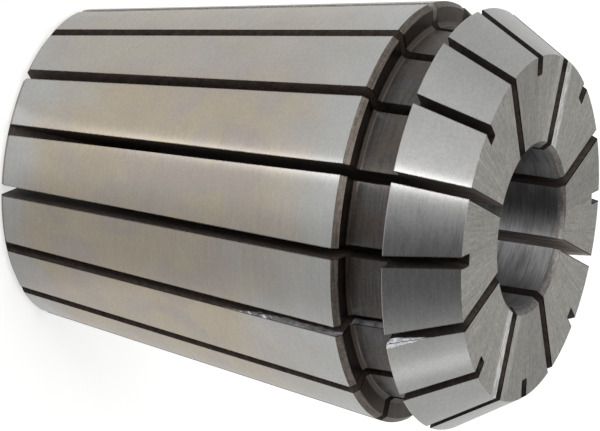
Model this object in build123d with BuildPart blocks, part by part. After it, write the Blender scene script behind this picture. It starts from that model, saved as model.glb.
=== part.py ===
from build123d import *
from math import radians, sqrt, tan
import os

# A spring collet of the 33 mm size, turned and ground from one piece of steel and
# sawn lengthways so that it can close on a round tool shank.
# The collet stands on its small rear end: +Z runs along the bore towards the nose,
# and the origin is the centre of the rear face. The first front slot lies on +X.

# Driving dimensions, in millimetres and degrees
overall_length = 40.0        # rear face to front face
body_diameter = 33.0         # large end of both cones
body_half_angle = 8.0        # of the long cone that seats in the holder
shoulder_chamfer = 0.45      # between the long cone and the groove's rear wall
groove_depth = 1.9           # below both cones' large ends, for the ring inside the nut
groove_width = 3.7           # between the groove's two walls
groove_corner = 0.3          # sloped corner between each wall and the groove's floor
nose_length = 5.25           # front face back to the groove's front wall
nose_half_angle = 30.0       # of the short cone that the nut presses on
rear_edge_break = 0.45       # round the rear rim
bore_diameter = 12.5         # with the collet relaxed
bore_chamfer = 0.5           # at both mouths of the bore
slot_pairs = 8               # slots sawn from the front, and as many from the rear
slot_width = 0.87
saw_radius = 25.0            # of the blade, which each slot's run-out copies
saw_overcut = 0.75           # how far the blade passes the wall of the bore
rear_nick_depth = 0.35       # left of a front slot's run-out at the rear rim
face_notch_depth = 1.45      # left of a rear slot's run-out at the front face
lip_break = 0.06             # width of the deburred edges along every slot, outside the bore
lip_angle = 45.0
saw_clearance = 1.0          # how far each cut is drawn past the metal

# Derived sizes
bore_radius = bore_diameter / 2
mouth_radius = bore_radius + bore_chamfer
nose_radius = body_diameter / 2
groove_radius = nose_radius - groove_depth
nose_start = overall_length - nose_length
shoulder_end = nose_start - groove_width
cone_end = shoulder_end - shoulder_chamfer
body_taper = tan(radians(body_half_angle))
rear_radius = nose_radius - body_taper * cone_end
shoulder_radius = nose_radius + body_taper * shoulder_chamfer
face_radius = nose_radius - tan(radians(nose_half_angle)) * nose_length

# The blade's lowest point, its centre when it is that deep, and room to cut clear
slot_floor = bore_radius - saw_overcut
blade_centre = slot_floor + saw_radius
clear_radius = shoulder_radius + saw_clearance
slot_pitch = 360 / slot_pairs

# A wedge that deburrs a slot's edge starts inside the slot and ends on the metal's surface
lip_rise = 2 * lip_break
lip_inset = lip_rise * tan(radians(lip_angle))


def run_out(radius):
    """Distance along the axis from the blade's lowest point to its edge at a radius."""
    return sqrt(saw_radius**2 - (blade_centre - radius) ** 2)


# Where the blade stops, so that its run-out leaves the stated depth at the far end
front_blade = run_out(rear_radius - rear_nick_depth)
rear_blade = overall_length - run_out(face_radius - face_notch_depth)

# Half section of the turned blank, drawn with X as radius and Y as height
with BuildSketch() as section:
    rear_rim = (rear_radius, 0)
    shoulder_rim = (shoulder_radius, shoulder_end)
    groove_rear = (groove_radius, shoulder_end)
    groove_front = (groove_radius, nose_start)
    nose_rim = (nose_radius, nose_start)
    face_rim = (face_radius, overall_length)
    rear_mouth = (bore_radius, 0)
    front_mouth = (bore_radius, overall_length)
    with BuildLine():
        Polyline(
            rear_mouth,
            rear_rim,
            shoulder_rim,
            groove_rear,
            groove_front,
            nose_rim,
            face_rim,
            front_mouth,
            close=True,
        )
    make_face()
    for corner, size in (
        (rear_mouth, bore_chamfer),
        (front_mouth, bore_chamfer),
        (rear_rim, rear_edge_break),
        (shoulder_rim, shoulder_chamfer),
        (groove_rear, groove_corner),
        (groove_front, groove_corner),
    ):
        chamfer(section.vertices().sort_by_distance(corner)[0], size)


def saw_cut(blade, mouth):
    """What the saw takes out for one slot, lying flat, with its edges deburred."""
    heading = 1 if mouth > blade else -1
    deepest = (slot_floor, blade)
    leaves = (clear_radius, blade - heading * run_out(clear_radius))
    # Side view: the blade's arc where it stopped, and full depth from there to the mouth
    with BuildSketch() as side:
        with BuildLine():
            RadiusArc(deepest, leaves, -heading * saw_radius)
            Polyline(leaves, (clear_radius, mouth), (slot_floor, mouth), deepest)
        make_face()
    with BuildPart() as cut:
        with BuildSketch():
            add(side.sketch)
        extrude(amount=slot_width / 2, both=True)
        # The wedges lie round the section's outline, but the edges inside the bore stay sharp
        with BuildSketch(Plane.XY.offset(slot_width / 2 - lip_break)):
            add(side.sketch)
            offset(section.sketch, amount=-lip_inset, kind=Kind.INTERSECTION, mode=Mode.SUBTRACT)
            with Locations((0, overall_length / 2)):
                Rectangle(2 * mouth_radius, 2 * overall_length, mode=Mode.SUBTRACT)
        extrude(amount=lip_rise, taper=lip_angle)
        mirror(about=Plane.XY)
    return cut.part


front_cut = saw_cut(front_blade, overall_length + saw_clearance)
rear_cut = saw_cut(rear_blade, -saw_clearance)
upright = (90, 0, 0)

# The turned blank, then its slots from the front and from the rear in turn
with BuildPart() as collet:
    with BuildSketch(Plane.XZ):
        add(section.sketch)
    revolve(axis=Axis.Z)
    with PolarLocations(0, slot_pairs):
        add(front_cut, rotation=upright, mode=Mode.SUBTRACT)
    with PolarLocations(0, slot_pairs, start_angle=slot_pitch / 2):
        add(rear_cut, rotation=upright, mode=Mode.SUBTRACT)

collet.part.label = "collet"
os.makedirs("parts", exist_ok=True)
export_step(collet.part, "parts/collet.step")
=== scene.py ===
from math import asin, cos, pi, radians, sin, sqrt, tan

import bpy
import numpy as np
from mathutils import Matrix, Vector


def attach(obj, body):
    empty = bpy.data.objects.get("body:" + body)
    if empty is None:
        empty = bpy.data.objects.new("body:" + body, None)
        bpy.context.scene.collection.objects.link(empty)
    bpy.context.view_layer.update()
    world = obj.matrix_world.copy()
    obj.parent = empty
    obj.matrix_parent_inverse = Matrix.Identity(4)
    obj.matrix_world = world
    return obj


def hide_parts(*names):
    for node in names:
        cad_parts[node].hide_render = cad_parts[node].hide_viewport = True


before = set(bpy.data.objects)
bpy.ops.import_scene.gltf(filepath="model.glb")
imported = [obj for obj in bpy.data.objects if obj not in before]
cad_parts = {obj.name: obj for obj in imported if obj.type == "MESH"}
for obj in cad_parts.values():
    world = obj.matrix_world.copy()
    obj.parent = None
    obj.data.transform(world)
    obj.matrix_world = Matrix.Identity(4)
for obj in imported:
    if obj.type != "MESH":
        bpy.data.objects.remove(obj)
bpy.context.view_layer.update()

# Lengths are in metres and in the CAD model's frame: the collet stands on its small
# rear end, with +Z along the bore towards the nose. Azimuths are degrees round from +X.
mm = 0.001

# The collet's sizes, as in the CAD
overall_length = 40.0 * mm
body_diameter = 33.0 * mm
body_half_angle = radians(8.0)
shoulder_chamfer = 0.45 * mm
groove_depth = 1.9 * mm
groove_width = 3.7 * mm
groove_corner = 0.3 * mm
nose_length = 5.25 * mm
nose_half_angle = radians(30.0)
rear_edge_break = 0.45 * mm
bore_diameter = 12.5 * mm
bore_chamfer = 0.5 * mm
slot_pairs = 8
slot_width = 0.87 * mm
saw_radius = 25.0 * mm
saw_overcut = 0.75 * mm
rear_nick_depth = 0.35 * mm
face_notch_depth = 1.45 * mm
lip_break = 0.06 * mm
saw_clearance = 1.0 * mm

# Detail that only the visible mesh has
edge_radius = 0.06 * mm      # every turned edge is very slightly round
corner_radius = 0.22 * mm    # in the groove's two corners
edge_steps = 3               # of each rounding
corner_room = 2.2            # a stretch's least length, in roundings at its end
turn_steps = 720             # round the axis
saw_steps = 64               # along each slot's run-out
halvings = 40                # to find where a run-out ends
overlap = 0.02 * mm          # of a cutter past the surface that it cuts

# Wear, and painted light
tone_seed = 22112.0          # which of the face's sectors are darker
rubbed_sheen_azimuth = 135.0       # of the pair of slots whose edges are rubbed, and painted white as a highlight, on the face
filed_azimuth = 94.0         # of the slot wall whose edge was filed by hand
filed_width = 0.80 * mm      # of the bevel that the file left, in the groove
glint_height = 23.0 * mm     # of its brightest scrapes, below the groove
pale_wall_azimuth = 229.0    # of a slot wall that is worn, and painted paler as a sheen, beside the bore
near_wall_azimuth = 42.8     # of a slot wall that is worn, and painted a little paler as a sheen, near the face
highlight_wall_azimuth = -24.5  # of a slot wall with a painted highlight along the cone's surface

# Derived sizes
bore_radius = bore_diameter / 2
mouth_radius = bore_radius + bore_chamfer
nose_radius = body_diameter / 2
groove_radius = nose_radius - groove_depth
nose_start = overall_length - nose_length
shoulder_end = nose_start - groove_width
body_taper = tan(body_half_angle)
rear_radius = nose_radius - body_taper * (shoulder_end - shoulder_chamfer)
shoulder_radius = nose_radius + body_taper * shoulder_chamfer
face_radius = nose_radius - tan(nose_half_angle) * nose_length
slot_floor = bore_radius - saw_overcut
blade_centre = slot_floor + saw_radius
clear_radius = shoulder_radius + saw_clearance
slot_pitch = 2 * pi / slot_pairs


def run_out(radius):
    """Distance along the axis from the blade's lowest point to its edge at a radius."""
    return sqrt(saw_radius**2 - (blade_centre - radius) ** 2)


front_blade = run_out(rear_radius - rear_nick_depth)
rear_blade = overall_length - run_out(face_radius - face_notch_depth)

# The turned outline as (radius, height, rounding), each with the zone of the stretch
# that follows it. The last two corners are the bore's.
slope = Vector((sin(body_half_angle), cos(body_half_angle)))
outline = (
    (mouth_radius, 0, edge_radius, "rim"),
    (rear_radius - rear_edge_break, 0, edge_radius, "rim"),
    (rear_radius + slope.x * rear_edge_break, slope.y * rear_edge_break, edge_radius, "cone"),
    (
        shoulder_radius - slope.x * shoulder_chamfer,
        shoulder_end - slope.y * shoulder_chamfer,
        edge_radius,
        "shoulder",
    ),
    (shoulder_radius - shoulder_chamfer, shoulder_end, edge_radius, "groove_wall"),
    (groove_radius + groove_corner, shoulder_end, corner_radius, "groove_wall"),
    (groove_radius, shoulder_end + groove_corner, corner_radius, "groove"),
    (groove_radius, nose_start - groove_corner, corner_radius, "groove_wall"),
    (groove_radius + groove_corner, nose_start, corner_radius, "groove_wall"),
    (nose_radius, nose_start, edge_radius, "nose"),
    (face_radius, overall_length, edge_radius, "face"),
    (mouth_radius, overall_length, edge_radius, "mouth"),
    (bore_radius, overall_length - bore_chamfer, edge_radius, "bore"),
    (bore_radius, bore_chamfer, edge_radius, "mouth"),
)


def rounded(corners):
    """The closed outline with its corners rounded, as points and the zone after each."""
    points, zones = [], []
    for i, (r, z, radius, zone) in enumerate(corners):
        here = Vector((r, z))
        before = Vector(corners[i - 1][:2]) - here
        after = Vector(corners[(i + 1) % len(corners)][:2]) - here
        half = before.angle(after) / 2
        reach = min(
            radius / tan(half), before.length / corner_room, after.length / corner_room
        )
        inwards = (before.normalized() + after.normalized()).normalized()
        centre = here + inwards * (reach * tan(half) / sin(half))
        arm = here + before.normalized() * reach - centre
        last_arm = here + after.normalized() * reach - centre
        turn = 1 if arm.x * last_arm.y - arm.y * last_arm.x > 0 else -1
        bend = pi - 2 * half
        for k in range(edge_steps + 1):
            angle = turn * bend * k / edge_steps
            spoke = Vector((
                arm.x * cos(angle) - arm.y * sin(angle),
                arm.x * sin(angle) + arm.y * cos(angle),
            ))
            points.append(centre + spoke)
            zones.append(zone)
    return points, zones


def new_mesh(name, vertices, faces):
    """An object in the scene, made of these vertices and faces."""
    mesh = bpy.data.meshes.new(name)
    mesh.from_pydata([tuple(v) for v in vertices], [], faces)
    mesh.update()
    made = bpy.data.objects.new(name, mesh)
    bpy.context.scene.collection.objects.link(made)
    return made


def turned_blank(points):
    """The outline turned about Z."""
    count = len(points)
    vertices = []
    for k in range(turn_steps):
        angle = 2 * pi * (k + 0.5) / turn_steps
        vertices += [(p.x * cos(angle), p.x * sin(angle), p.y) for p in points]
    faces = []
    for k in range(turn_steps):
        a, b = k * count, ((k + 1) % turn_steps) * count
        faces += [(a + j, b + j, b + (j + 1) % count, a + (j + 1) % count) for j in range(count)]
    return new_mesh("collet_body", vertices, faces)


def blade(is_front):
    """Where the blade's centre stands, as a radius and a height, and its way out, up being 1."""
    if is_front:
        return Vector((blade_centre, front_blade)), 1
    return Vector((blade_centre, rear_blade)), -1


def slab(is_front):
    """A slot's full depth: the blade's arc, closed well outside the metal."""
    centre, upward = blade(is_front)
    last = asin(run_out(clear_radius) / saw_radius)
    side = []
    for k in range(saw_steps + 1):
        angle = last * k / saw_steps
        side.append((
            centre.x - saw_radius * cos(angle),
            centre.y - upward * saw_radius * sin(angle),
        ))
    mouth = overall_length + saw_clearance if is_front else -saw_clearance
    side += [(clear_radius, mouth), (slot_floor, mouth)]
    count = len(side)
    vertices = [(r, y, z) for y in (-slot_width / 2, slot_width / 2) for r, z in side]
    faces = [tuple(range(count)), tuple(range(2 * count - 1, count - 1, -1))]
    for j in range(count):
        after = (j + 1) % count
        faces.append((count + j, count + after, after, j))
    if not is_front:
        faces = [f[::-1] for f in faces]
    return vertices, faces


def lip_path(is_front):
    """The stretch of the outline that one slot crosses, from the bore's mouth outwards."""
    centre, upward = blade(is_front)
    corners = [Vector(c[:2]) for c in outline[:-2]]
    if is_front:
        corners.reverse()

    def depth(p):
        """How far the blade has cut past a point."""
        past = (p.y - centre.y) * upward
        return saw_radius if past >= 0 else saw_radius - (p - centre).length

    path = [corners[0]]
    for a, b in zip(corners, corners[1:]):
        if depth(b) > lip_break:
            path.append(b)
            continue
        low, high = 0.0, 1.0
        for _ in range(halvings):
            middle = (low + high) / 2
            if depth(a.lerp(b, middle)) > lip_break:
                low = middle
            else:
                high = middle
        path.append(a.lerp(b, low))
        break
    return path


def lip_wedge(is_front, side):
    """The three-cornered strip that deburrs one edge of a slot, swept along its path."""
    path = lip_path(is_front)
    outward = -1 if is_front else 1
    wide = slot_width / 2 + lip_break + overlap
    near = slot_width / 2 - overlap
    vertices, faces = [], []
    for i, p in enumerate(path):
        normals = []
        for a, b in ((path[i - 1], p), (p, path[(i + 1) % len(path)])):
            along = b - a
            normals.append(Vector((along.y, -along.x)).normalized() * outward)
        if i == 0:
            normals[0] = normals[1]
        if i == len(path) - 1:
            normals[1] = normals[0]
        mitre = (normals[0] + normals[1]) / (1 + normals[0].dot(normals[1]))
        out = p + mitre * overlap
        inner = p - mitre * (lip_break + overlap)
        vertices += [
            (out.x, side * wide, out.y),
            (inner.x, side * near, inner.y),
            (out.x, side * near, out.y),
        ]
    for i in range(len(path) - 1):
        a, b = 3 * i, 3 * i + 3
        faces += [(a + j, a + (j + 1) % 3, b + (j + 1) % 3, b + j) for j in range(3)]
    faces += [(2, 1, 0), (3 * len(path) - 3, 3 * len(path) - 2, 3 * len(path) - 1)]
    if side * outward > 0:
        faces = [f[::-1] for f in faces]
    return vertices, faces


def ring_of(name, shapes):
    """One object with a front and a rear shape repeated for all the slots in turn."""
    vertices, faces = [], []
    for k in range(2 * slot_pairs):
        angle = k * slot_pitch / 2
        for shape_vertices, shape_faces in shapes[k % 2]:
            first = len(vertices)
            vertices += [
                (x * cos(angle) - y * sin(angle), x * sin(angle) + y * cos(angle), z)
                for x, y, z in shape_vertices
            ]
            faces += [tuple(first + v for v in f) for f in shape_faces]
    return new_mesh(name, vertices, faces)


def cut_away(piece, cutter):
    """Takes the cutter's closed shapes out of the piece for good."""
    modifier = piece.modifiers.new("cut", "BOOLEAN")
    modifier.operation = "DIFFERENCE"
    modifier.solver = "MANIFOLD"
    modifier.object = cutter
    graph = bpy.context.evaluated_depsgraph_get()
    mesh = bpy.data.meshes.new_from_object(piece.evaluated_get(graph))
    piece.modifiers.clear()
    old = piece.data
    piece.data = mesh
    bpy.data.meshes.remove(old)
    bpy.data.objects.remove(cutter)


points, zones = rounded(outline)
collet = turned_blank(points)
slabs = [[slab(is_front)] for is_front in (True, False)]
lips = [[lip_wedge(is_front, side) for side in (1, -1)] for is_front in (True, False)]
cut_away(collet, ring_of("slabs", slabs))
cut_away(collet, ring_of("lips", lips))


class Shader:
    """Short names for adding nodes to one material or world."""

    def __init__(self, owner):
        owner.use_nodes = True
        self.tree = owner.node_tree
        self.tree.nodes.clear()

    def add(self, kind, inputs=(), **settings):
        """A node with its settings made and its inputs set or linked."""
        made = self.tree.nodes.new(kind)
        for name, value in settings.items():
            setattr(made, name, value)
        for key, value in dict(inputs).items():
            if isinstance(value, bpy.types.NodeSocket):
                self.tree.links.new(value, made.inputs[key])
            else:
                made.inputs[key].default_value = value
        return made

    def math(self, operation, *values):
        """What an operation makes of some numbers."""
        return self.add("ShaderNodeMath", enumerate(values), operation=operation).outputs[0]

    def vector(self, operation, *values):
        """What an operation makes of some vectors."""
        made = self.add("ShaderNodeVectorMath", enumerate(values), operation=operation)
        return made.outputs["Value" if operation in ("DOT_PRODUCT", "LENGTH") else "Vector"]

    def ramp(self, value, low, high, to_low=0.0, to_high=1.0, smooth=True):
        """Maps low..high of a value onto to_low..to_high, and holds it outside."""
        inputs = {
            "Value": value, "From Min": low, "From Max": high,
            "To Min": to_low, "To Max": to_high,
        }
        kind = "SMOOTHSTEP" if smooth else "LINEAR"
        return self.add("ShaderNodeMapRange", inputs, interpolation_type=kind).outputs[0]

    def fall(self, value, low, high):
        """1 up to low, and then falling to 0 at high."""
        return self.ramp(value, low, high, 1.0, 0.0)

    def noise(self, vector, scale, detail=3.0, roughness=0.5, distortion=0.0):
        """Soft noise, 0..1, with scale as the number of its spots in a metre."""
        inputs = {
            "Vector": vector, "Scale": scale, "Detail": detail,
            "Roughness": roughness, "Distortion": distortion,
        }
        return self.add("ShaderNodeTexNoise", inputs).outputs["Fac"]

    def mix(self, factor, first, second, blend="MIX"):
        """Mixes two colours: the node's sockets 6 and 7 take them, and 2 gives the result."""
        inputs = {0: factor, 6: first, 7: second}
        return self.add("ShaderNodeMix", inputs, data_type="RGBA", blend_type=blend).outputs[2]

    def place(self):
        """The point that is being coloured, in metres."""
        return self.add("ShaderNodeTexCoord").outputs["Object"]

    def parts(self, vector):
        """The X, Y and Z of a vector."""
        return self.add("ShaderNodeSeparateXYZ", {0: vector}).outputs

    def join(self, x=0.0, y=0.0, z=0.0):
        """A vector from its X, Y and Z."""
        return self.add("ShaderNodeCombineXYZ", {0: x, 1: y, 2: z}).outputs[0]


def heading(azimuth, elevation=0):
    """Unit vector from degrees round from +X and up from the floor."""
    a, e = radians(azimuth), radians(elevation)
    return Vector((cos(e) * cos(a), cos(e) * sin(a), sin(e)))


def lobe(s, way, azimuth, inner, outer, elevation=0):
    """1 within the inner angle of a direction, and 0 past the outer one, in degrees."""
    aim = s.vector("DOT_PRODUCT", way, tuple(heading(azimuth, elevation)))
    return s.ramp(aim, cos(radians(outer)), cos(radians(inner)))


def rgb(red, green, blue):
    """A colour as the nodes take it."""
    return (red, green, blue, 1.0)


def lines(s, spot, across_mm, along_mm):
    """Noise drawn out into rings round the axis."""
    squeeze = (1 / (along_mm * mm), 1 / (along_mm * mm), 1 / (across_mm * mm))
    return s.noise(s.vector("MULTIPLY", spot, squeeze), scale=1.0, detail=4.0, roughness=0.6)


def polar(s, spot):
    """Distance from the axis, in metres, and the way out from it."""
    flat = s.vector("MULTIPLY", spot, (1.0, 1.0, 0.0))
    return s.vector("LENGTH", flat), s.vector("NORMALIZE", flat)


def strokes(s, spot, across_mm, along_mm):
    """Noise drawn out into marks that run from the axis outwards."""
    out, way = polar(s, spot)
    round_axis = s.vector("MULTIPLY", way, (face_radius / (across_mm * mm),) * 3)
    outwards = s.join(z=s.math("DIVIDE", out, along_mm * mm))
    both = s.vector("ADD", round_axis, outwards)
    return s.noise(both, scale=1.0, detail=4.0, roughness=0.6)


def past_front_slot(s, spot):
    """Distance to the nearest front slot's edge, in millimetres."""
    x, y, _ = s.parts(spot)
    turn = s.math("PINGPONG", s.math("ARCTAN2", y, x), slot_pitch / 2)
    sideways = s.math("MULTIPLY", polar(s, spot)[0], s.math("SINE", turn))
    return s.math("DIVIDE", s.math("SUBTRACT", sideways, slot_width / 2), mm)


def by_sector(s, spot, seed):
    """A different 0..1 value in each of the sectors between slots."""
    x, y, _ = s.parts(spot)
    sector = s.math("FLOOR", s.math("DIVIDE", s.math("ARCTAN2", y, x), slot_pitch / 2))
    whole = s.math("ADD", sector, seed)
    return s.add("ShaderNodeTexWhiteNoise", {"W": whole}, noise_dimensions="1D").outputs["Value"]


def grain(s, spot, size_mm):
    """Fine even mottling, as on a ground and tumbled surface."""
    return s.noise(spot, scale=1 / (size_mm * mm), detail=2.0, roughness=0.8)


def shade(s, colour, value, amount):
    """A colour made lighter and darker by a 0..1 value."""
    grey = s.ramp(value, 0.25, 0.75, 1 - amount, 1 + amount, smooth=False)
    return s.mix(1.0, colour, s.join(grey, grey, grey), "MULTIPLY")


def roughened(s, value, low, high):
    """A roughness between low and high that follows a 0..1 noise."""
    return s.ramp(value, 0.3, 0.7, low, high)


def below_surface(s, spot):
    """How far a point lies inside the turned outline, measured towards the axis."""
    up = s.parts(spot)[2]
    past_groove = s.math("SUBTRACT", up, nose_start)
    before_groove = s.math("SUBTRACT", shoulder_end, up)
    off_groove = s.math(
        "ADD",
        s.math("GREATER_THAN", past_groove, 0.0),
        s.math("GREATER_THAN", before_groove, 0.0),
    )
    surface = s.ramp(off_groove, 0.0, 1.0, groove_radius, nose_radius, smooth=False)
    nose_drop = s.math("MULTIPLY", s.math("MAXIMUM", past_groove, 0.0), tan(nose_half_angle))
    cone_drop = s.math("MULTIPLY", s.math("MAXIMUM", before_groove, 0.0), body_taper)
    surface = s.math("SUBTRACT", surface, s.math("ADD", nose_drop, cone_drop))
    return s.math("SUBTRACT", surface, polar(s, spot)[0])


def filed(s, spot, from_edge, share):
    """Where one slot's edge was filed by hand, 0..1, and the height in mm of that bevel.

    from_edge is the distance from the edge, and share how much of the bevel lies on this side.
    The bevel is full beside the groove and runs out on the cone and on the nose: there its
    width falls below 0, which is none.
    """
    cone_first, cone_full = shoulder_end - 13.5 * mm, shoulder_end - 5.0 * mm
    cone_loss = 0.15 * mm
    nose_full, nose_last = nose_start + 0.5 * mm, nose_start + 3.8 * mm
    nose_last_width = -0.20 * mm
    raggedness = 0.6 * mm
    soft_edge = 0.12 * mm
    up = s.parts(spot)[2]
    width = s.ramp(up, nose_full, nose_last, filed_width, nose_last_width, smooth=False)
    loss = s.ramp(up, cone_first, cone_full, filed_width + cone_loss, cone_loss)
    loss = s.math("MULTIPLY", loss, s.math("LESS_THAN", up, shoulder_end))
    wander = s.math("SUBTRACT", s.noise(spot, scale=900.0, roughness=0.6), 0.5)
    width = s.math("SUBTRACT", width, loss)
    width = s.math("ADD", width, s.math("MULTIPLY", wander, raggedness))
    inside = s.math("SUBTRACT", s.math("MULTIPLY", width, share), from_edge)
    drop_mm = s.math("DIVIDE", s.math("MAXIMUM", inside, 0.0), -mm)
    here = lobe(s, polar(s, spot)[1], filed_azimuth, inner=3, outer=5)
    bare = s.math("MULTIPLY", here, s.ramp(inside, 0.0, soft_edge))
    return bare, s.math("MULTIPLY", drop_mm, here)


def saw_tracks(s, spot):
    """Noise along the curved marks that the blade left on a slot's walls."""
    pitch = 0.45 * mm
    up = s.parts(spot)[2]
    short = s.math("POWER", s.math("SUBTRACT", blade_centre, polar(s, spot)[0]), 2.0)
    run = s.math("SQRT", s.math("MAXIMUM", s.math("SUBTRACT", saw_radius**2, short), 0.0))
    track = s.math("DIVIDE", s.math("SUBTRACT", up, run), pitch)
    wobble = s.math("MULTIPLY", s.noise(spot, scale=900.0, detail=2.0), 1.5)
    return s.noise(s.join(s.math("ADD", track, wobble)), scale=1.0, roughness=0.6)


def scrapes(s, up, depth):
    """The file's slanted strokes, which glint at one height on the cone: 0..1."""
    pitch = 0.7 * mm
    slant = 1.2
    full, gone = 1.0 * mm, 3.0 * mm
    slanted = s.math("ADD", up, s.math("MULTIPLY", depth, slant))
    stroke = s.join(s.math("DIVIDE", slanted, pitch))
    off_glint = s.math("ABSOLUTE", s.math("SUBTRACT", up, glint_height))
    glint = s.ramp(s.noise(stroke, scale=1.0, detail=1.0), 0.46, 0.58)
    return s.math("MULTIPLY", s.fall(off_glint, full, gone), glint)


# Marks that run round the axis spread a reflection lengthways
RINGED = {"Anisotropic": 0.90, "Anisotropic Rotation": 0.25}
BORED = {"Anisotropic": 0.95, "Anisotropic Rotation": 0.25}

# Each of the functions from here to steel() gives a colour, a roughness, a height in
# millimetres, and those values of the finish that differ from steel's own.


def cone_steel(s, spot):
    """Ground, then tempered: straw and violet tints between grey-blue ends."""
    straw = rgb(0.600, 0.530, 0.425)
    violet = rgb(0.555, 0.500, 0.450)
    grey_blue = rgb(0.595, 0.600, 0.590)
    rear_grey_mm, front_grey_mm = (0.5, 6.0), (20.0, 30.0)
    wander = s.math("SUBTRACT", s.noise(spot, scale=120.0, detail=2.0), 0.5)
    up_mm = s.math("DIVIDE", s.parts(spot)[2], mm)
    up_mm = s.math("ADD", up_mm, s.math("MULTIPLY", wander, 16.0))
    warm = s.math("MULTIPLY", s.ramp(up_mm, *rear_grey_mm), s.fall(up_mm, *front_grey_mm))
    upper_side = lobe(s, polar(s, spot)[1], azimuth=-5, inner=15, outer=32)
    warm = s.math("MULTIPLY", warm, s.ramp(upper_side, 0.0, 1.0, 1.0, 0.6, smooth=False))
    patches = s.ramp(s.noise(spot, scale=210.0, detail=2.0, distortion=0.6), 0.42, 0.62)
    colour = s.mix(warm, grey_blue, s.mix(patches, straw, violet))
    colour = shade(s, colour, s.noise(spot, scale=330.0), 0.04)
    colour = shade(s, colour, grain(s, spot, size_mm=0.30), 0.06)
    rings = lines(s, spot, across_mm=0.16, along_mm=6.0)
    colour = shade(s, colour, rings, 0.03)
    rough = roughened(s, rings, 0.24, 0.34)
    height = s.math("MULTIPLY", rings, 0.0006)
    return colour, rough, height, RINGED


def nose_steel(s, spot):
    """Bright ground steel with fine rings, a few rubbed marks and one filed edge."""
    rings = lines(s, spot, across_mm=0.22, along_mm=1.6)
    colour = shade(s, rgb(0.588, 0.583, 0.580), rings, 0.03)
    colour = shade(s, colour, s.noise(spot, scale=500.0, roughness=0.6), 0.05)
    colour = shade(s, colour, grain(s, spot, size_mm=0.25), 0.08)
    marks = s.ramp(lines(s, spot, across_mm=0.5, along_mm=0.09), 0.72, 0.78, 0.0, 0.30)
    colour = s.mix(marks, colour, rgb(0.75, 0.75, 0.74))
    # The filed edge is on the -X side of the slot that lies on +Y
    from_edge = s.math("SUBTRACT", s.math("MULTIPLY", s.parts(spot)[0], -1.0), slot_width / 2)
    bare, bevel = filed(s, spot, from_edge, share=0.45)
    colour = s.mix(bare, colour, rgb(0.55, 0.55, 0.56))
    rough = roughened(s, rings, 0.26, 0.29)
    height = s.math("ADD", s.math("MULTIPLY", rings, 0.0001), bevel)
    return colour, rough, height, RINGED


def face_steel(s, spot):
    """Ground flat: fine strokes from the bore outwards, each sector a little apart in tone."""
    fine = strokes(s, spot, across_mm=0.10, along_mm=2.5)
    broad = strokes(s, spot, across_mm=0.28, along_mm=4.0)
    both = s.math("MULTIPLY", s.math("ADD", fine, broad), 0.5)
    colour = shade(s, rgb(0.422, 0.406, 0.376), fine, 0.32)
    colour = shade(s, colour, broad, 0.16)
    colour = shade(s, colour, by_sector(s, spot, tone_seed), 0.12)
    colour = shade(s, colour, grain(s, spot, size_mm=0.30), 0.24)
    # Two opposite slots are rubbed, each mostly along one edge, and painted white there as a
    # highlight
    strip_mm = (0.70, 1.30)
    way = polar(s, spot)[1]
    along = s.vector("DOT_PRODUCT", way, tuple(heading(rubbed_sheen_azimuth)))
    beside = s.vector("DOT_PRODUCT", way, tuple(heading(rubbed_sheen_azimuth - 90)))
    side = s.ramp(s.math("MULTIPLY", along, beside), -0.02, 0.02, 0.30, 1.0)
    rubbed = s.math("MULTIPLY", side, s.ramp(s.math("ABSOLUTE", along), 0.94, 0.98))
    near = s.fall(past_front_slot(s, spot), *strip_mm)
    glint = s.ramp(strokes(s, spot, across_mm=0.30, along_mm=0.9), 0.42, 0.56, 0.30, 1.0)
    rubbed = s.math("MULTIPLY", rubbed, s.math("MULTIPLY", near, glint))
    colour = s.mix(rubbed, colour, rgb(1.0, 1.0, 1.0))
    rough = s.ramp(both, 0.35, 0.65, 0.30, 0.42)
    height = s.math("MULTIPLY", both, 0.003)
    return colour, rough, height, {}


def shoulder_steel(s, spot):
    """Turned, and left brown from hardening."""
    rings = lines(s, spot, across_mm=0.09, along_mm=2.0)
    colour = shade(s, rgb(0.200, 0.171, 0.149), rings, 0.55)
    colour = shade(s, colour, grain(s, spot, size_mm=0.35), 0.35)
    rough = roughened(s, rings, 0.32, 0.50)
    height = s.math("MULTIPLY", rings, 0.008)
    return colour, rough, height, {}


def groove_steel(s, spot):
    """Turned and hardened, never ground: dark, with a mottled skin."""
    grey, brown = rgb(0.126, 0.120, 0.120), rgb(0.160, 0.138, 0.122)
    rings = lines(s, spot, across_mm=0.12, along_mm=3.0)
    mottle = s.noise(spot, scale=420.0, roughness=0.6)
    colour = s.mix(s.ramp(mottle, 0.4, 0.65), grey, brown)
    colour = shade(s, colour, rings, 0.28)
    colour = shade(s, colour, grain(s, spot, size_mm=0.30), 0.15)
    rough = roughened(s, mottle, 0.26, 0.42)
    height = s.math("MULTIPLY", rings, 0.0015)
    return colour, rough, height, RINGED


def groove_wall_steel(s, spot):
    """The groove's walls and corners, browner than its floor."""
    skin = s.noise(spot, scale=1400.0, roughness=0.6)
    colour = shade(s, rgb(0.098, 0.079, 0.068), skin, 0.25)
    rough = roughened(s, skin, 0.30, 0.46)
    height = s.math("MULTIPLY", skin, 0.002)
    return colour, rough, height, {}


def rim_steel(s, spot):
    """The small rear end: turned, faced and lightly oiled."""
    rings = lines(s, spot, across_mm=0.12, along_mm=3.0)
    colour = shade(s, rgb(0.330, 0.290, 0.255), rings, 0.15)
    rough = roughened(s, rings, 0.32, 0.44)
    height = s.math("MULTIPLY", rings, 0.0015)
    return colour, rough, height, {}


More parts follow.
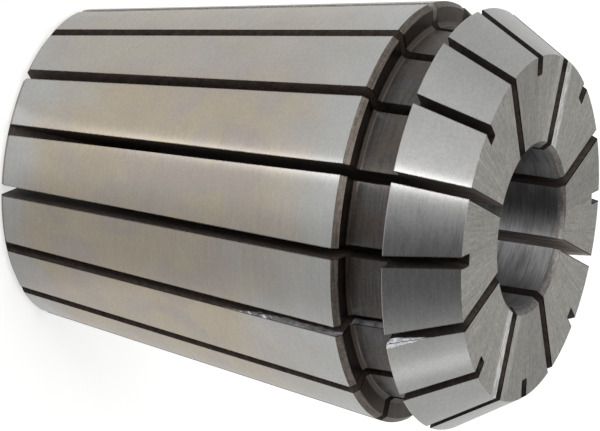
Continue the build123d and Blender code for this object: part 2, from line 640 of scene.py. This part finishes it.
def bore_steel(s, spot):
    """Honed, with rings that catch the light in streaks, and a painted lit side that is paler.
    """
    rings = lines(s, spot, across_mm=0.11, along_mm=2.2)
    broad = lines(s, spot, across_mm=0.9, along_mm=3.0)
    streak = s.math("MULTIPLY", s.math("ADD", rings, broad), 0.5)
    colour = shade(s, rgb(0.330, 0.325, 0.336), streak, 0.65)
    bright = shade(s, rgb(0.72, 0.72, 0.74), streak, 0.65)
    # Painted light: the bore is painted paler towards one side, where light falls
    painted_lit_side = lobe(s, polar(s, spot)[1], azimuth=218, inner=2, outer=34)
    colour = s.mix(s.math("MULTIPLY", painted_lit_side, 0.75), colour, bright)
    rough = roughened(s, rings, 0.44, 0.58)
    height = s.math("MULTIPLY", rings, 0.003)
    return colour, rough, height, BORED


def mouth_steel(s, spot):
    """The bore's chamfered mouths, turned, a little dull, and paler away from the bore."""
    inner_tone, outer_tone = rgb(0.125, 0.117, 0.115), rgb(0.250, 0.235, 0.220)
    outer_from, outer_full = bore_radius + 0.05 * mm, bore_radius + 0.35 * mm
    rings = lines(s, spot, across_mm=0.12, along_mm=1.2)
    outer = s.ramp(polar(s, spot)[0], outer_from, outer_full)
    colour = shade(s, s.mix(outer, inner_tone, outer_tone), rings, 0.45)
    colour = shade(s, colour, grain(s, spot, size_mm=0.30), 0.35)
    rough = roughened(s, rings, 0.30, 0.44)
    height = s.math("MULTIPLY", rings, 0.002)
    return colour, rough, height, {}


def wall_steel(s, spot):
    """Sawn, then darkened by hardening, with the blade's curved marks, and darker in places."""
    out, way = polar(s, spot)
    up = s.parts(spot)[2]
    depth = below_surface(s, spot)

    # Darkest in the groove and the nose, and where the slots meet the bore
    brown, oiled = rgb(0.158, 0.126, 0.110), rgb(0.065, 0.054, 0.049)
    past_cone_up = (30.5 * mm, 31.5 * mm)
    off_bore_out, by_bore_out = (12 * mm, 13 * mm), (6.8 * mm, 7.6 * mm)
    past_cone = s.math("MULTIPLY", s.ramp(up, *past_cone_up), s.ramp(out, *off_bore_out))
    dark = s.math("MAXIMUM", past_cone, s.fall(out, *by_bore_out))
    marks = saw_tracks(s, spot)
    grime = s.noise(spot, scale=1600.0, roughness=0.6)
    colour = s.mix(dark, brown, oiled)
    colour = shade(s, colour, marks, 0.40)
    colour = shade(s, colour, grime, 0.30)

    # Two walls are worn paler towards the face, with streaks along the slot, and painted paler
    # still as a sheen
    pale = rgb(0.80, 0.70, 0.62)
    pale_up, near_up = (31 * mm, 34 * mm), (34 * mm, 37 * mm)
    streak_across, streak_along = 0.16 * mm, 4 * mm
    pale_wall = lobe(s, way, pale_wall_azimuth, inner=3, outer=6)
    pale_wall = s.math("MULTIPLY", pale_wall, s.ramp(up, *pale_up))
    near_wall = lobe(s, way, near_wall_azimuth, inner=1.5, outer=3)
    near_wall = s.math("MULTIPLY", near_wall, s.ramp(up, *near_up, 0.0, 0.5))
    streaks = s.join(s.math("DIVIDE", out, streak_across), s.math("DIVIDE", up, streak_along))
    streaked = shade(s, pale, s.noise(streaks, scale=1.0), 0.80)
    colour = s.mix(s.math("ADD", pale_wall, near_wall), colour, streaked)

    # Painted highlight: one wall is painted bright just below the cone's surface
    bright_depth = (0.8 * mm, 1.5 * mm)
    painted_highlight = lobe(s, way, highlight_wall_azimuth, inner=1.5, outer=3)
    painted_highlight = s.math("MULTIPLY", painted_highlight, s.fall(depth, *bright_depth))
    painted_highlight = s.math("MULTIPLY", painted_highlight, s.math("LESS_THAN", up, shoulder_end))
    colour = s.mix(painted_highlight, colour, rgb(0.92, 0.87, 0.83))

    # The filed edge is bare metal all over on the nose, and less so before it, in scrapes
    just_past = nose_start + 0.01 * mm
    bare, bevel = filed(s, spot, depth, share=1.0)
    on_nose = s.ramp(up, nose_start, just_past, 0.45, 1.0)
    bare = s.math("MULTIPLY", bare, s.math("MAXIMUM", scrapes(s, up, depth), on_nose))
    colour = s.mix(bare, colour, shade(s, rgb(0.62, 0.64, 0.70), grime, 0.70))

    height = s.math("ADD", s.math("MULTIPLY", marks, 0.008), s.math("MULTIPLY", grime, 0.008))
    height = s.math("ADD", height, bevel)
    rough = roughened(s, marks, 0.48, 0.66)
    rough = s.math("MULTIPLY", rough, s.ramp(bare, 0.45, 1.0, 1.0, 0.6))
    # The painted highlight and the near wall's painted sheen are made more metallic
    sheen_and_wear = s.math("MAXIMUM", painted_highlight, s.math("MULTIPLY", near_wall, 0.7))
    metallic = s.ramp(s.math("MAXIMUM", bare, sheen_and_wear), 0.0, 1.0, 0.15, 1.0)
    return colour, rough, height, {"Metallic": metallic, "Specular IOR Level": 0.25}


def lip_steel(s, spot):
    """Edges rubbed bright by deburring."""
    chips = s.noise(spot, scale=1100.0, detail=4.0, roughness=0.7)
    colour = shade(s, rgb(0.62, 0.60, 0.57), chips, 0.60)
    bare, _ = filed(s, spot, from_edge=0.0, share=1.0)
    colour = s.mix(bare, colour, rgb(0.78, 0.78, 0.79))
    rough = roughened(s, chips, 0.26, 0.42)
    height = s.math("MULTIPLY", chips, 0.008)
    return colour, rough, height, {}


def steel(name, build):
    """The material whose colour, roughness, height and finish come from build(shader, spot)."""
    material = bpy.data.materials.new(name)
    s = Shader(material)
    colour, rough, height, finish = build(s, s.place())
    bump = s.add("ShaderNodeBump", {"Height": height, "Distance": mm, "Strength": 1.0})
    inputs = {
        "Base Color": colour, "Roughness": rough, "Metallic": 1.0, "Normal": bump.outputs[0],
    }
    inputs.update(finish)
    if "Anisotropic" in finish:
        round_axis = s.add("ShaderNodeTangent", direction_type="RADIAL", axis="Z")
        inputs["Tangent"] = round_axis.outputs[0]
    surface = s.add("ShaderNodeBsdfPrincipled", inputs)
    s.add("ShaderNodeOutputMaterial", {"Surface": surface.outputs[0]})
    return material


FINISHES = {
    "cone": cone_steel,
    "nose": nose_steel,
    "face": face_steel,
    "shoulder": shoulder_steel,
    "groove": groove_steel,
    "groove_wall": groove_wall_steel,
    "rim": rim_steel,
    "bore": bore_steel,
    "mouth": mouth_steel,
    "wall": wall_steel,
    "lip": lip_steel,
}
slot_of = {zone: i for i, zone in enumerate(FINISHES)}
mesh = collet.data
mesh.materials.clear()
for zone, build in FINISHES.items():
    mesh.materials.append(steel(zone + "_steel", build))

# Each face is told apart by how it lies. One that lies on the outline and faces as it
# does belongs to that stretch's zone. Of the rest, one that points partly round the
# axis is a deburred edge, and the others are sawn.
on_line = 0.01 * mm          # a face nearer to the outline than this lies on it
wrong_way = 0.05 * mm        # added to the distance of a stretch that faces another way
same_way = 0.7               # least cosine to a stretch that faces the same way
cut_from = 0.25              # a face that points this far round the axis was cut
sawn_from = 0.9              # and past this it is a slot's wall, not a deburred edge
count = len(mesh.polygons)
centres, normals = np.empty(count * 3), np.empty(count * 3)
mesh.polygons.foreach_get("center", centres)
mesh.polygons.foreach_get("normal", normals)
centres, normals = centres.reshape(-1, 3), normals.reshape(-1, 3)
radius = np.hypot(centres[:, 0], centres[:, 1])
outwards = centres[:, :2] / radius[:, None]
across = np.abs(outwards[:, 0] * normals[:, 1] - outwards[:, 1] * normals[:, 0])
place = np.stack([radius, centres[:, 2]], 1)
starts = np.array([tuple(p) for p in points])
runs = np.roll(starts, -1, 0) - starts
lengths = np.hypot(runs[:, 0], runs[:, 1])
facing = np.stack([runs[:, 1], -runs[:, 0]], 1) / lengths[:, None]
share = ((place[:, None] - starts[None]) * runs[None]).sum(2) / lengths**2
nearest = starts[None] + np.clip(share, 0, 1)[..., None] * runs[None]
gaps = np.hypot(*np.moveaxis(place[:, None] - nearest, 2, 0))
own = np.stack([(normals[:, :2] * outwards).sum(1), normals[:, 2]], 1)
gaps = gaps + wrong_way * (own @ facing.T < same_way)
stretch = gaps.argmin(1)
on_outline = (gaps.min(1) < on_line) & (across < cut_from)
is_lip = ~on_outline & (across > cut_from) & (across < sawn_from)
kind = np.array([slot_of[zone] for zone in zones])[stretch]
kind[~on_outline] = slot_of["wall"]
kind[is_lip] = slot_of["lip"]
mesh.polygons.foreach_set("material_index", kind.astype(np.int32))

# Turned faces are shaded as true surfaces of revolution, and the sawn ones flat
loops = np.empty(len(mesh.loops), np.int32)
mesh.loops.foreach_get("vertex_index", loops)
sizes = np.empty(count, np.int32)
mesh.polygons.foreach_get("loop_total", sizes)
face_of_loop = np.repeat(np.arange(count), sizes)
spots = np.empty(len(mesh.vertices) * 3)
mesh.vertices.foreach_get("co", spots)
spots = spots.reshape(-1, 3)[loops]
spot_out = spots[:, :2] / np.hypot(spots[:, 0], spots[:, 1])[:, None]
turned = facing[stretch][face_of_loop]
shading = np.where(
    on_outline[face_of_loop][:, None],
    np.column_stack([turned[:, :1] * spot_out, turned[:, 1]]),
    normals[face_of_loop],
)
mesh.shade_smooth()
mesh.normals_split_custom_set(shading.tolist())

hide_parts("collet")
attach(collet, "root")
collet.name = "collet_turned"

# Floor: a round sheet of pale paper, just under the collet
floor_radius = 0.6
floor_drop = 0.02 * mm
floor_sides = 96
floor_angles = [2 * pi * k / floor_sides for k in range(floor_sides)]
floor_edge = [(floor_radius * cos(a), floor_radius * sin(a), -floor_drop) for a in floor_angles]
floor = new_mesh("floor", floor_edge, [tuple(range(floor_sides))])


def floor_paper():
    """Dull pale paper, seen as nearly white, with painted lit and shaded places: a glow that
    only metal mirrors.
    """
    glow_strength, mirrored_share = 0.62, 0.80
    plain, shaded, lit = 0.74, 0.485, 2.2
    lit_out = (18 * mm, 45 * mm)
    material = bpy.data.materials.new("floor_paper")
    s = Shader(material)
    ray = s.add("ShaderNodeLightPath").outputs
    dull = s.add("ShaderNodeBsdfDiffuse", {"Color": rgb(0.82, 0.82, 0.81)}).outputs[0]
    out, way = polar(s, s.place())
    # Painted shade on one side of the floor and a painted pool of light on another, seen only in
    # reflections
    dark_side = lobe(s, way, azimuth=91, inner=4, outer=37)
    bright_side = lobe(s, way, azimuth=38.5, inner=0.5, outer=5)
    bright_side = s.math("MULTIPLY", bright_side, s.ramp(out, *lit_out, 0.1, 1.0))
    tone = s.ramp(dark_side, 0.0, 1.0, plain, shaded, smooth=False)
    tone = s.math("ADD", tone, s.math("MULTIPLY", bright_side, lit))
    mirrored = s.add("ShaderNodeEmission", {"Color": rgb(1, 1, 1), "Strength": tone}).outputs[0]
    by_gloss = s.math("MULTIPLY", ray["Is Glossy Ray"], mirrored_share)
    blended = s.add("ShaderNodeMixShader", {0: by_gloss, 1: dull, 2: mirrored}).outputs[0]
    by_camera = s.math("MULTIPLY", ray["Is Camera Ray"], glow_strength)
    glow = s.add("ShaderNodeEmission", {"Color": rgb(1, 1, 1), "Strength": by_camera}).outputs[0]
    surface = s.add("ShaderNodeAddShader", {0: blended, 1: glow}).outputs[0]
    s.add("ShaderNodeOutputMaterial", {"Surface": surface})
    return material


def studio():
    """An even pale room with a lighter side, a dark opening and a bright ceiling panel."""
    world = bpy.data.worlds.new("studio")
    s = Shader(world)
    ray = s.add("ShaderNodeLightPath").outputs
    way = s.add("ShaderNodeTexCoord").outputs["Generated"]
    lighter_wall = lobe(s, way, azimuth=3, elevation=35, inner=8, outer=48)
    opening = lobe(s, way, azimuth=85, elevation=33, inner=3, outer=53)
    ceiling_panel = lobe(s, way, azimuth=25, elevation=70, inner=8, outer=25)
    room = s.mix(lighter_wall, rgb(0.535, 0.535, 0.530), rgb(0.695, 0.695, 0.685))
    room = s.mix(opening, room, rgb(0.073, 0.069, 0.071))
    room = s.mix(ceiling_panel, room, rgb(1.70, 1.70, 1.70))
    backdrop = s.add("ShaderNodeBackground", {"Color": room, "Strength": 1.0}).outputs[0]
    white = s.add("ShaderNodeBackground", {"Color": rgb(1, 1, 1), "Strength": 1.0}).outputs[0]
    seen_by = {0: ray["Is Camera Ray"], 1: backdrop, 2: white}
    surface = s.add("ShaderNodeMixShader", seen_by).outputs[0]
    s.add("ShaderNodeOutputWorld", {"Surface": surface})
    return world


def softbox(name, azimuth, elevation, distance, width, height, radiance):
    """A soft rectangular lamp that faces the collet, as bright as a surface of that radiance."""
    lamp = bpy.data.lights.new(name, "AREA")
    lamp.shape = "RECTANGLE"
    lamp.size, lamp.size_y = width, height
    lamp.energy = radiance * pi * width * height
    made = bpy.data.objects.new(name, lamp)
    aim = heading(azimuth, elevation)
    made.rotation_euler = aim.to_track_quat("Z", "Y").to_euler()
    made.location = Vector((0, 0, overall_length / 2)) + aim * distance
    made.visible_camera = False
    bpy.context.scene.collection.objects.link(made)


floor.data.materials.append(floor_paper())
bpy.context.scene.world = studio()
softbox("key", 35.2, 36, distance=0.6, width=0.070, height=0.40, radiance=3.1)
softbox("strip", 151, 20, distance=0.6, width=0.10, height=0.30, radiance=0.45)

# The photograph's camera: a long lens close to the nose's side, rolled so that the
# collet lies along the picture
image_width = 600
sensor_width = 36.0
focal_pixels = 5525.0
nearest_seen, farthest_seen = 0.01, 10.0
camera = bpy.data.objects.new("camera", bpy.data.cameras.new("camera"))
bpy.context.scene.collection.objects.link(camera)
camera.data.sensor_width = sensor_width
camera.data.lens = focal_pixels / image_width * sensor_width
camera.data.clip_start, camera.data.clip_end = nearest_seen, farthest_seen
camera_place = Vector((237.536, 316.118, 197.175)) * mm
right = Vector((-0.126987, -0.410122, 0.903147))
up = Vector((0.824470, -0.549868, -0.133772))
back = right.cross(up)
turned_axes = Matrix((right, up, back)).transposed().to_4x4()
camera.matrix_world = Matrix.Translation(camera_place) @ turned_axes
bpy.context.scene.camera = camera

bpy.context.scene.view_settings.view_transform = "Standard"
